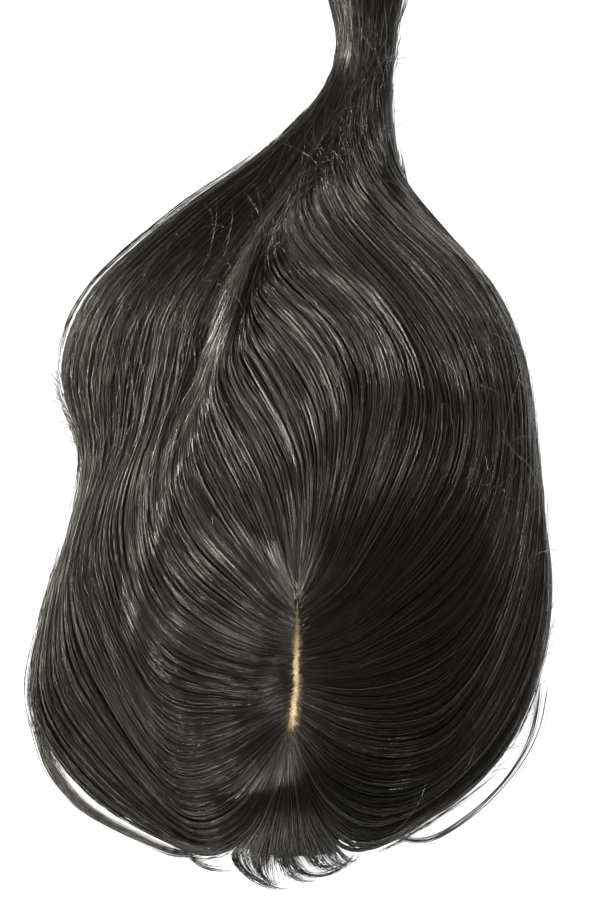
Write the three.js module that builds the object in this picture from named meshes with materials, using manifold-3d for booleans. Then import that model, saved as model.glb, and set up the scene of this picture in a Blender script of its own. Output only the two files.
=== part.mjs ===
// A long-haired toupee laid flat on a table, seen as it is packed and shown: a domed cap with a
// hem, a scalp-coloured parting panel on it, and long hair that fans out from the parting, falls
// over the cap's edge all round, and is swept back into one tail. The front lies towards -Y and the
// tail towards +Y. Millimetres, +Z up, resting on Z = 0.
import * as THREE from "three";
import { mergeVertices } from "three/addons/utils/BufferGeometryUtils.js";
import Module from "manifold-3d";

const wasm = await Module();
wasm.setup();

// Driving dimensions of the cap, with its hem, that sits on the head
const capWidth = 130;
const capLength = 150;
const capHeight = 40;
const capWall = 1.6;
const hemWidth = 6;
const hemThickness = 2;

// Driving dimensions of the hair
const sideSweep = 53.5; // how far the hair reaches past the cap, on each side
const frontReach = 16; // how far the fringe reaches past the cap
const tailReach = 277; // how far the tail reaches past the cap
const crownPile = 8; // hair standing over the cap at the parting
const lockDepth = 2.4; // groove between two neighbouring locks
const looseLockWidth = 4.2;

// Driving dimensions of the parting panel and of the clips under the cap
const panelWidth = 15;
const panelLength = 80;
const panelThickness = 0.8;
const clipLength = 32;
const clipWidth = 13;
const clipThickness = 1.2;
const clipBar = 3.2; // width of the clip's frame round its slot
const clipInset = 18; // from the cap's edge to the clip's middle

// Gaps between neighbouring pieces
const clearance = 0.3;
const seamGap = 0.6;

// Fineness of the faceted shapes
const capSegments = 36;
const capRings = 7;
const stepsPerSection = 2;
const lockFacets = [0, 0.32, 0.68]; // where a lock's cross-section has its columns

// Sizes of the whole
const hairWidth = capWidth + 2 * sideSweep;
const hairLength = frontReach + capLength + tailReach;
const hairHeight = capHeight + crownPile;
const cutBelow = 5; // how far a cutter reaches under the table
const capCentre = new THREE.Vector2(sideSweep + capWidth / 2, frontReach + capLength / 2);
const partingTurn = THREE.MathUtils.degToRad(-3.3);

// Sections across the hair, from the parting to the tip of the tail. Places are percent of the
// hair's width and length, from its front left corner. The hair has four long lines: its left edge,
// the ridge where the back hair folds over the left hair, the line behind the parting, and its
// right edge. A bow is the height of the section's arch between two lines, as a share of the
// distance between them.
const planColumns = [
  "leftX", "leftY", "ridgeX", "ridgeY", "backX", "backY", "rightX", "rightY",
  "leftBow", "backBow", "rightBow",
];
const plan = [
  [49.0, 14.5, 50.2, 23.7, 51.3, 28.9, 50.6, 14.5, 0.03, 0.02, 0.04],
  [44.7, 9.4, 39.5, 26.1, 53.0, 34.2, 56.1, 9.4, 0.16, 0.19, 0.2],
  [40.5, 3.8, 27.6, 29.9, 56.1, 39.9, 60.5, 3.8, 0.17, 0.23, 0.27],
  [28.0, 4.2, 23.8, 35.0, 58.4, 44.4, 75.0, 5.6, 0.11, 0.19, 0.25],
  [11.5, 8.8, 24.3, 40.1, 59.3, 48.4, 88.0, 11.0, 0.02, 0.16, 0.22],
  [0.5, 17.0, 26.6, 44.4, 58.6, 52.3, 97.0, 20.0, 0.0, 0.18, 0.19],
  [3.0, 27.5, 29.5, 48.0, 56.1, 55.8, 100.0, 29.0, 0.02, 0.15, 0.16],
  [8.4, 36.0, 32.3, 51.8, 51.9, 59.1, 98.4, 38.0, 0.06, 0.12, 0.16],
  [10.5, 43.7, 35.0, 55.3, 47.7, 61.4, 96.5, 46.0, 0.14, 0.08, 0.15],
  [6.0, 52.0, 37.8, 58.9, 45.6, 63.9, 94.0, 54.0, 0.14, 0.03, 0.11],
  [12.2, 60.5, 41.1, 62.9, 46.6, 66.9, 88.2, 61.0, 0.15, 0.0, 0.04],
  [29.0, 68.3, 47.1, 69.0, 51.0, 71.3, 74.2, 68.5, 0.13, 0.0, 0.0],
  [46.6, 75.0, 54.8, 75.3, 57.6, 76.0, 69.8, 75.1, 0.08, 0.0, 0.0],
  [56.3, 80.5, 60.1, 80.5, 62.6, 80.6, 69.4, 80.7, 0.0, 0.0, 0.0],
  [59.0, 85.8, 61.4, 85.8, 64.2, 85.9, 70.2, 86.3, 0.0, 0.0, 0.0],
  [56.8, 91.4, 60.1, 91.5, 63.8, 91.6, 71.3, 91.6, 0.0, 0.0, 0.0],
  [58.6, 98.6, 60.8, 99.4, 63.0, 100.0, 66.0, 99.0, 0.0, 0.0, 0.0],
].map((row) => named(planColumns, row));

// Heights of the same sections, percent of the hair's height: at each long line, at the crest
// between two lines, and in the channel beside the ridge, where the left hair lies lower.
const heightColumns = [
  "leftEdge", "leftCrest", "channel", "ridge", "backCrest", "back", "rightCrest", "rightEdge",
];
const heights = [
  [89, 98, 96, 96, 92, 85, 98, 89],
  [75, 96, 98, 98, 94, 83, 99, 75],
  [27, 62, 73, 75, 76, 70, 74, 27],
  [11, 49, 58, 63, 70, 66, 60, 11],
  [7, 44, 53, 60, 67, 66, 53, 8],
  [7, 42, 49, 59, 64, 66, 51, 8],
  [7, 42, 46, 60, 62, 63, 51, 8],
  [7, 41, 44, 61, 60, 56, 51, 8],
  [7, 40, 42, 60, 56, 45, 52, 8],
  [7, 41, 41, 58, 54, 45, 53, 8],
  [7, 40, 39, 54, 52, 50, 52, 8],
  [7, 36, 37, 49, 50, 52, 49, 10],
  [7, 31, 35, 43, 46, 48, 46, 11],
  [8, 26, 31, 37, 41, 44, 42, 12],
  [10, 28, 33, 37, 40, 41, 39, 12],
  [8, 24, 29, 32, 35, 36, 34, 10],
  [3, 10, 12, 13, 14, 14, 12, 4],
].map((row) => named(heightColumns, row));

// The short fringe between the two sides, from the parting to its curled tips
const fringeColumns = ["leftX", "leftY", "rightX", "rightY", "bow", "edge", "crest"];
const fringePlan = [
  [48.4, 14.3, 51.2, 14.3, 0.0, 89, 91],
  [44.7, 9.4, 56.1, 9.4, 0.05, 74, 79],
  [40.7, 3.9, 60.5, 3.9, 0.05, 23, 31],
  [42.6, 1.8, 61.2, 1.9, 0.04, 7, 14],
  [45.0, 0.1, 58.6, 0.0, 0.0, 2, 5],
].map((row) => named(fringeColumns, row));

// Locks that came loose at the two front corners: percent places along each one
const looseColumns = ["x", "y", "z"];
const leftLoose = [
  [38.0, 5.4, 14], [30.0, 2.9, 7], [20.0, 4.5, 5], [10.4, 7.3, 5], [4.0, 11.3, 5], [1.4, 17.0, 6],
].map((row) => named(looseColumns, row));
const rightLoose = [
  [65.0, 6.0, 12], [75.0, 4.5, 6], [84.0, 7.0, 5], [91.5, 11.0, 5], [96.2, 15.6, 5], [97.6, 20.5, 6],
].map((row) => named(looseColumns, row));

const lockCounts = { left: 8, back: 6, right: 11, fringe: 4 };

const colours = {
  hair: { color: 0x1d1a17, roughness: 0.42, metalness: 0 },
  scalp: { color: 0xd9b47c, roughness: 0.75, metalness: 0 },
  cap: { color: 0x2b2622, roughness: 0.9, metalness: 0 },
  clip: { color: 0x24201d, roughness: 0.35, metalness: 0.6 },
};

function named(columns, row) {
  return Object.fromEntries(columns.map((name, i) => [name, row[i]]));
}

function plot(xPercent, yPercent) {
  return new THREE.Vector2((xPercent / 100) * hairWidth, (yPercent / 100) * hairLength);
}

// Solids and meshes

function solidFrom(geometry) {
  const bare = geometry.clone();
  for (const name of ["normal", "uv"]) bare.deleteAttribute(name);
  const merged = mergeVertices(bare, 1e-4);
  const solid = new wasm.Manifold(
    new wasm.Mesh({
      numProp: 3,
      vertProperties: merged.attributes.position.array,
      triVerts: new Uint32Array(merged.index.array),
    }),
  );
  return solid;
}

function meshFrom(name, solid, look) {
  const made = solid.getMesh();
  const places = new Float32Array(made.numVert * 3);
  for (let i = 0; i < made.numVert; i++) {
    for (let k = 0; k < 3; k++) places[3 * i + k] = made.vertProperties[made.numProp * i + k];
  }
  const geometry = new THREE.BufferGeometry();
  geometry.setAttribute("position", new THREE.BufferAttribute(places, 3));
  geometry.setIndex(new THREE.BufferAttribute(new Uint32Array(made.triVerts), 1));
  geometry.computeVertexNormals();
  const mesh = new THREE.Mesh(geometry, new THREE.MeshStandardMaterial(look));
  mesh.name = name;
  return mesh;
}

// The cap: a ball's cap over the width, stretched to the cap's length, on a flat hem

const domeRadiusAtHem = capWidth / 2 - hemWidth;
const domeRise = capHeight - hemThickness;
const domeBall = (domeRadiusAtHem ** 2 + domeRise ** 2) / (2 * domeRise);
const domeBallZ = capHeight - domeBall;
const capStretch = capLength / capWidth;

function domeArc(offset, floor) {
  const ball = domeBall + offset;
  const last = Math.acos((floor - domeBallZ) / ball);
  const points = [];
  for (let i = 0; i <= capRings; i++) {
    const angle = (last * i) / capRings;
    points.push(new THREE.Vector2(ball * Math.sin(angle), domeBallZ + ball * Math.cos(angle)));
  }
  return points;
}

function revolve(profile) {
  const geometry = new THREE.LatheGeometry(profile, capSegments);
  geometry.rotateX(Math.PI / 2);
  geometry.scale(1, capStretch, 1);
  geometry.translate(capCentre.x, capCentre.y, 0);
  const solid = solidFrom(geometry);
  return solid.volume() < 0 ? solidFrom(reversed(geometry)) : solid;
}

function reversed(geometry) {
  const turned = geometry.clone();
  const order = turned.index.array;
  for (let i = 0; i < order.length; i += 3) {
    [order[i + 1], order[i + 2]] = [order[i + 2], order[i + 1]];
  }
  return turned;
}

// Everything under a dome that stands a given distance off the cap's outside, with the hem
function domeFill(offset, withHem = true) {
  const hemTop = hemThickness + offset;
  const hemEdge = capWidth / 2 + offset;
  const arc = domeArc(offset, withHem ? hemTop : 0);
  const rim = withHem ? [new THREE.Vector2(hemEdge, hemTop), new THREE.Vector2(hemEdge, -cutBelow)]
    : [new THREE.Vector2(arc.at(-1).x, -cutBelow)];
  return revolve([...arc, ...rim, new THREE.Vector2(0, -cutBelow)]);
}

function capSolid() {
  const outside = domeArc(0, hemThickness);
  const hem = [
    new THREE.Vector2(capWidth / 2, hemThickness),
    new THREE.Vector2(capWidth / 2, 0),
  ];
  return revolve([...outside, ...hem, ...domeArc(-capWall, 0).reverse()]);
}

// A plate of even thickness that follows the dome, cut to an outline seen from above
function domePlate(offset, thickness, outline) {
  const shell = domeFill(offset + thickness, false).subtract(domeFill(offset, false));
  return shell.intersect(outline);
}

// A tall prism over an outline; squeeze narrows it from side to side, before it is turned
function upright(shape, turn, centre, squeeze = 1) {
  const tall = new THREE.ExtrudeGeometry(shape, {
    depth: hairHeight * 2, bevelEnabled: false, curveSegments: 5,
  });
  tall.scale(squeeze, 1, 1);
  tall.rotateZ(turn);
  tall.translate(centre.x, centre.y, 0);
  return solidFrom(tall);
}

function roundedBar(length, width) {
  const end = width / 2;
  const run = length / 2 - end;
  const shape = new THREE.Shape();
  shape.absarc(0, run, end, 0, Math.PI, false);
  shape.absarc(0, -run, end, Math.PI, 2 * Math.PI, false);
  shape.closePath();
  return shape;
}

// The parting panel lies on the cap under the parting

const partingCentre = plot(50.4, 21.3);

function panelOutline(margin) {
  const bar = roundedBar(panelLength + 2 * margin, panelWidth + 2 * margin);
  return upright(bar, partingTurn, partingCentre);
}

// Snap clips: a plain frame round a slot, sewn under the cap near its edge

function clipSolid(turn) {
  const frame = roundedBar(clipLength, clipWidth);
  frame.holes.push(roundedBar(clipLength - 2 * clipBar, clipWidth - 2 * clipBar));
  const across = capWidth / 2 - clipInset;
  const along = across * capStretch;
  const centre = new THREE.Vector2(Math.cos(turn) * across, Math.sin(turn) * along).add(capCentre);
  const lean = Math.cos(Math.asin(across / domeBall)); // the dome leans, so the clip looks narrower
  const plate = upright(frame, turn, centre, lean);
  return domePlate(-capWall - clearance - clipThickness, clipThickness, plate);
}

// Hair sheets: each one is lofted through the sections, with a groove between its locks

function sectionPoint(from, to, bow, t) {
  const chord = to.clone().sub(from);
  const out = new THREE.Vector2(-chord.y, chord.x).multiplyScalar(4 * bow * t * (1 - t));
  return from.clone().lerp(to, t).add(out);
}

// A rounded mound from one edge over the crest to the other
function moundHeight(t, first, crest, last) {
  const side = Math.abs(2 * t - 1);
  const base = t < 0.5 ? first : last;
  return base + (crest - base) * Math.sqrt(1 - side ** 2.4);
}

// Unit normal of a long line at one of its points, on the side of the sheet's other long line
function sideNormal(line, other, i) {
  const before = line[Math.max(i - 1, 0)];
  const next = Math.min(i + 1, line.length - 1);
  const normal = new THREE.Vector2(before.y - line[next].y, line[next].x - before.x).normalize();
  return normal.dot(other[next].clone().sub(line[i])) < 0 ? normal.negate() : normal;
}

// Sections of one sheet, each as a function from t, 0 to 1 across it, to a point. The sheet's two
// sides stand in from their lines by a given distance.
function sheetSections(lines, bowSign, marks) {
  const starts = lines.map((line) => line.from);
  const ends = lines.map((line) => line.to);
  return lines.map(({ from, to, bow }, i) => (t, inset) => {
    const inwards = sideNormal(starts, ends, i).lerp(sideNormal(ends, starts, i), t);
    const place = sectionPoint(from, to, bowSign * bow, t).addScaledVector(inwards, inset);
    const high = moundHeight(t, ...marks[i]);
    return new THREE.Vector3(place.x, place.y, (high / 100) * hairHeight);
  });
}

const leftSheet = sheetSections(
  plan.map((p) => ({ from: plot(p.ridgeX, p.ridgeY), to: plot(p.leftX, p.leftY), bow: p.leftBow })),
  -1, heights.map((h) => [h.channel, h.leftCrest, h.leftEdge]),
);
const backSheet = sheetSections(
  plan.map((p) => ({ from: plot(p.ridgeX, p.ridgeY), to: plot(p.backX, p.backY), bow: p.backBow })),
  1, heights.map((h) => [h.ridge, h.backCrest, h.back]),
);
const rightSheet = sheetSections(
  plan.map((p) => ({ from: plot(p.backX, p.backY), to: plot(p.rightX, p.rightY), bow: p.rightBow })),
  1, heights.map((h) => [h.back, h.rightCrest, h.rightEdge]),
);
const fringeSheet = sheetSections(
  fringePlan.map((p) => ({ from: plot(p.leftX, p.leftY), to: plot(p.rightX, p.rightY), bow: p.bow })),
  -1, fringePlan.map((p) => [p.edge, p.crest, p.edge]),
);

// Where the columns of a sheet lie: in the groove beside each lock, and on its two shoulders
function columnPlaces(locks) {
  const places = [];
  for (let lock = 0; lock < locks; lock++) {
    for (const facet of lockFacets) places.push((lock + facet) / locks);
  }
  return [...places, 1];
}

// How deep a column lies under the crest of its lock; no two locks stand alike
function grooveDepth(t, locks) {
  const within = (t * locks) % 1;
  const inGroove = within < 1e-6 || within > 1 - 1e-6;
  const lock = Math.floor(t * locks + 1e-6);
  const lower = 0.5 + 0.5 * Math.sin(2.4 * lock);
  return lockDepth * (inGroove ? 1 : 0.35 * lower);
}

// Points of the sheet's top, as columns along the hair; its sides keep half a seam from their lines
function sheetColumns(sections, locks, seam) {
  const rows = (sections.length - 1) * stepsPerSection + 1;
  return columnPlaces(locks).map((t) => {
    const through = sections.map((at) => at(t, seam / 2));
    const line = new THREE.CatmullRomCurve3(through, false, "centripetal");
    const groove = grooveDepth(t, locks);
    return Array.from({ length: rows }, (_, i) => {
      const along = i / (rows - 1);
      const point = line.getPoint(along);
      const fade = Math.sin(Math.PI * Math.min(1, 0.15 + along)) ** 0.5;
      point.z = Math.max(point.z - groove * Math.max(0, fade), point.z / 2);
      return point;
    });
  });
}

// A closed solid between the sheet's top and the table
function sheetSolid(columns, lift = 0) {
  const places = [];
  const faces = [];
  const wide = columns.length;
  const long = columns[0].length;
  const at = (c, r) => c * long + r;
  for (const column of columns) {
    for (const p of column) places.push(p.x, p.y, p.z + lift);
  }
  for (let c = 0; c < wide - 1; c++) {
    for (let r = 0; r < long - 1; r++) {
      faces.push(at(c, r), at(c + 1, r), at(c + 1, r + 1));
      faces.push(at(c, r), at(c + 1, r + 1), at(c, r + 1));
    }
  }
  const border = borderOf(wide, long, at);
  const under = border.map((i) => {
    places.push(places[3 * i], places[3 * i + 1], lift > 0 ? -cutBelow : 0);
    return places.length / 3 - 1;
  });
  border.forEach((top, i) => {
    const j = (i + 1) % border.length;
    faces.push(top, under[i], under[j]);
    faces.push(top, under[j], border[j]);
  });
  const outline = under.map((i) => new THREE.Vector2(places[3 * i], places[3 * i + 1]));
  const corners = THREE.ShapeUtils.triangulateShape(outline, []);
  const turning = corners.reduce((sum, [a, b, c]) => sum + cornersArea(outline, a, b, c), 0);
  const sameWay = turning * THREE.ShapeUtils.area(outline) > 0;
  for (const [a, b, c] of corners) {
    faces.push(...(sameWay ? [c, b, a] : [a, b, c]).map((i) => under[i]));
  }
  const geometry = new THREE.BufferGeometry();
  geometry.setAttribute("position", new THREE.Float32BufferAttribute(places, 3));
  geometry.setIndex(faces);
  const solid = solidFrom(geometry);
  return solid.volume() < 0 ? solidFrom(reversed(geometry)) : solid;
}

// Indices round the sheet's border, in the order in which its top faces turn
function borderOf(wide, long, at) {
  const border = [];
  for (let c = 0; c < wide - 1; c++) border.push(at(c, 0));
  for (let r = 0; r < long - 1; r++) border.push(at(wide - 1, r));
  for (let c = wide - 1; c > 0; c--) border.push(at(c, long - 1));
  for (let r = long - 1; r > 0; r--) border.push(at(0, r));
  return border;
}

function cornersArea(outline, a, b, c) {
  return THREE.ShapeUtils.area([outline[a], outline[b], outline[c]]);
}

function looseLock(route, width = looseLockWidth) {
  const line = new THREE.CatmullRomCurve3(
    route.map((p) => {
      const place = plot(p.x, p.y);
      return new THREE.Vector3(place.x, place.y, (p.z / 100) * hairHeight);
    }),
  );
  const section = new THREE.Shape();
  section.absellipse(0, 0, width / 2, width / 2, 0, 2 * Math.PI);
  return solidFrom(
    new THREE.ExtrudeGeometry(section, { steps: 16, curveSegments: 3, extrudePath: line }),
  );
}

// What every hair piece keeps clear of: the cap, and the parting panel on it
const carrierClear = domeFill(clearance).add(
  domeFill(2 * clearance + panelThickness, false).intersect(panelOutline(clearance)),
);
const aboveTable = solidFrom(
  new THREE.BoxGeometry(hairWidth * 2, hairLength * 2, hairHeight * 2)
    .translate(hairWidth / 2, hairLength / 2, hairHeight),
);

function hairPiece(name, sections, locks, extras = [], cutters = []) {
  let solid = sheetSolid(sheetColumns(sections, locks, seamGap));
  for (const extra of extras) solid = solid.add(extra.intersect(aboveTable));
  for (const cutter of [carrierClear, ...cutters]) solid = solid.subtract(cutter);
  return meshFrom(name, largestOf(solid), colours.hair);
}

// Slivers that a cut leaves beside the piece are dropped
function largestOf(solid) {
  const parts = solid.decompose();
  return parts.reduce((best, part) => (part.volume() > best.volume() ? part : best));
}

// What the fringe keeps clear of: the hair on one side of it, with that side's loose lock
function besideFringe(sections, locks, route) {
  const sheet = sheetSolid(sheetColumns(sections, locks, -seamGap), seamGap);
  return sheet.add(looseLock(route, looseLockWidth + 2 * seamGap));
}

const toupee = new THREE.Group();
toupee.add(meshFrom("cap_base", capSolid(), colours.cap));
toupee.add(
  meshFrom("parting_panel", domePlate(clearance, panelThickness, panelOutline(0)), colours.scalp),
);
toupee.add(hairPiece("left_hair", leftSheet, lockCounts.left, [looseLock(leftLoose)]));
toupee.add(hairPiece("back_hair", backSheet, lockCounts.back));
toupee.add(hairPiece("right_hair", rightSheet, lockCounts.right, [looseLock(rightLoose)]));
toupee.add(
  hairPiece("front_fringe", fringeSheet, lockCounts.fringe, [], [
    besideFringe(leftSheet, lockCounts.left, leftLoose),
    besideFringe(rightSheet, lockCounts.right, rightLoose),
  ]),
);
const clipPlaces = { right: 0, back: 0.5, left: 1, front: 1.5 };
for (const [side, halfTurns] of Object.entries(clipPlaces)) {
  toupee.add(meshFrom(`snap_clip_${side}`, clipSolid(Math.PI * halfTurns), colours.clip));
}

// The origin is the middle of the whole, on the table
const reach = new THREE.Box3().setFromObject(toupee);
const middle = reach.getCenter(new THREE.Vector3());
for (const piece of toupee.children) piece.geometry.translate(-middle.x, -middle.y, -reach.min.z);

export default toupee;
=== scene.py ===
"""Looks of the long-haired toupee: strands of hair over the cap, the parting, and the studio.

Everything is in metres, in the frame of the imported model: the front of the toupee lies towards -Y,
the tail towards +Y, and it rests on Z = 0. Places on the hair are percent of its width and length
from its front left corner, and heights are percent of its height, as in the part's own sections.
"""

import math

import bpy
import numpy as np
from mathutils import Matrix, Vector


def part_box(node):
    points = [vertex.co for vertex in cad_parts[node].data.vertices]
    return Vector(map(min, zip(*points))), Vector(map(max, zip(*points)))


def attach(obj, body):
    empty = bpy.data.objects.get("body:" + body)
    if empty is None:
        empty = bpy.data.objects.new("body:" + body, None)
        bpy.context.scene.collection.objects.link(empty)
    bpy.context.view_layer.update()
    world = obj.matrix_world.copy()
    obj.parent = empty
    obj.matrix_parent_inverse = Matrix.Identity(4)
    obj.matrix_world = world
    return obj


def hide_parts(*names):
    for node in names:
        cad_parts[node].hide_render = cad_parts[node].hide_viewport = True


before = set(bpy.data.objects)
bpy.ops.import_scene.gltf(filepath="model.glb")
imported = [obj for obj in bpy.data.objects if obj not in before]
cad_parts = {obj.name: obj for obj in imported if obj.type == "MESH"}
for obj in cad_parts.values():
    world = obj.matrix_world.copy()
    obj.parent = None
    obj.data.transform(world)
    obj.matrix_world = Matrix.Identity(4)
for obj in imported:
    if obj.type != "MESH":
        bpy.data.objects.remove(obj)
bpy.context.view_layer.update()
chance = np.random.default_rng(41)

# Sizes: the cap's come from the frame, and the hair reaches this far past it
cap_low, cap_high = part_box("cap_base")
panel_low, panel_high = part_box("parting_panel")
cap_middle = (cap_low + cap_high) / 2
cap_wide = cap_high.x - cap_low.x
cap_long = cap_high.y - cap_low.y
side_sweep = 0.0535
front_reach = 0.016
tail_reach = 0.277
hair_wide = cap_wide + 2 * side_sweep
hair_long = front_reach + cap_long + tail_reach
hair_high = 0.048
strand_width = 0.00040
strand_sides = 3
body_sink = 0.0034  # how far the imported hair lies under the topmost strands
least_gap = 0.0003  # the least height of any hair over the cap or the table

# Camera: straight above the table, and how much of the table it sees
frame_high = 0.405
camera_height = 2.2

# Sections across the hair, from the parting to the tip of the tail
ROW = [
    "left_x", "left_y", "ridge_x", "ridge_y", "back_x", "back_y", "right_x", "right_y",
    "left_bow", "back_bow", "right_bow",
]
PLAN = [
    [49.0, 14.5, 50.2, 23.7, 51.3, 28.9, 50.6, 14.5, 0.03, 0.02, 0.04],
    [44.7, 9.4, 39.5, 26.1, 53.0, 34.2, 56.1, 9.4, 0.16, 0.19, 0.2],
    [40.5, 3.8, 27.6, 29.9, 56.1, 39.9, 60.5, 3.8, 0.17, 0.23, 0.27],
    [28.0, 4.2, 23.8, 35.0, 58.4, 44.4, 75.0, 5.6, 0.11, 0.19, 0.25],
    [11.5, 8.8, 24.3, 40.1, 59.3, 48.4, 88.0, 11.0, 0.02, 0.16, 0.22],
    [0.5, 17.0, 26.6, 44.4, 58.6, 52.3, 97.0, 20.0, 0.0, 0.18, 0.19],
    [3.0, 27.5, 29.5, 48.0, 56.1, 55.8, 100.0, 29.0, 0.02, 0.15, 0.16],
    [8.4, 36.0, 32.3, 51.8, 51.9, 59.1, 98.4, 38.0, 0.06, 0.12, 0.16],
    [10.5, 43.7, 35.0, 55.3, 47.7, 61.4, 96.5, 46.0, 0.14, 0.08, 0.15],
    [6.0, 52.0, 37.8, 58.9, 45.6, 63.9, 94.0, 54.0, 0.14, 0.03, 0.11],
    [12.2, 60.5, 41.1, 62.9, 46.6, 66.9, 88.2, 61.0, 0.15, 0.0, 0.04],
    [29.0, 68.3, 47.1, 69.0, 51.0, 71.3, 74.2, 68.5, 0.13, 0.0, 0.0],
    [46.6, 75.0, 54.8, 75.3, 57.6, 76.0, 69.8, 75.1, 0.08, 0.0, 0.0],
    [56.3, 80.5, 60.1, 80.5, 62.6, 80.6, 69.4, 80.7, 0.0, 0.0, 0.0],
    [59.0, 85.8, 61.4, 85.8, 64.2, 85.9, 70.2, 86.3, 0.0, 0.0, 0.0],
    [56.8, 91.4, 60.1, 91.5, 63.8, 91.6, 71.3, 91.6, 0.0, 0.0, 0.0],
    [58.6, 98.6, 60.8, 99.4, 63.0, 100.0, 66.0, 99.0, 0.0, 0.0, 0.0],
]
RISE = [
    "left_edge", "left_crest", "channel", "ridge",
    "back_crest", "back", "right_crest", "right_edge",
]
HEIGHTS = [
    [89, 98, 96, 96, 92, 85, 98, 89],
    [75, 96, 98, 98, 94, 83, 99, 75],
    [27, 62, 73, 75, 76, 70, 74, 27],
    [11, 49, 58, 63, 70, 66, 60, 11],
    [7, 44, 53, 60, 67, 66, 53, 8],
    [7, 42, 49, 59, 64, 66, 51, 8],
    [7, 42, 46, 60, 62, 63, 51, 8],
    [7, 41, 44, 61, 60, 56, 51, 8],
    [7, 40, 42, 60, 56, 45, 52, 8],
    [7, 41, 41, 58, 54, 45, 53, 8],
    [7, 40, 39, 54, 52, 50, 52, 8],
    [7, 36, 37, 49, 50, 52, 49, 10],
    [7, 31, 35, 43, 46, 48, 46, 11],
    [8, 26, 31, 37, 41, 44, 42, 12],
    [10, 28, 33, 37, 40, 41, 39, 12],
    [8, 24, 29, 32, 35, 36, 34, 10],
    [3, 10, 12, 13, 14, 14, 12, 4],
]
LAST = len(PLAN) - 1
FRINGE = [  # left x and y, right x and y, bow, height at the sides, height in the middle
    [48.4, 14.3, 51.2, 14.3, 0.0, 89, 91],
    [44.7, 9.4, 56.1, 9.4, 0.05, 74, 79],
    [40.7, 3.9, 60.5, 3.9, 0.05, 23, 31],
    [42.6, 1.8, 61.2, 1.9, 0.04, 7, 14],
    [45.0, 0.1, 58.6, 0.0, 0.0, 2, 5],
]
LEFT_LOOSE = [
    [38.0, 5.4, 14], [30.0, 3.2, 7], [20.4, 5.0, 5], [11.1, 7.8, 5], [4.7, 11.8, 5], [1.8, 17.2, 6],
]
RIGHT_LOOSE = [
    [65.0, 6.0, 12], [75.0, 4.5, 6], [84.0, 7.0, 5], [91.5, 11.0, 5], [96.2, 15.6, 5],
    [97.6, 20.5, 6],
]

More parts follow.
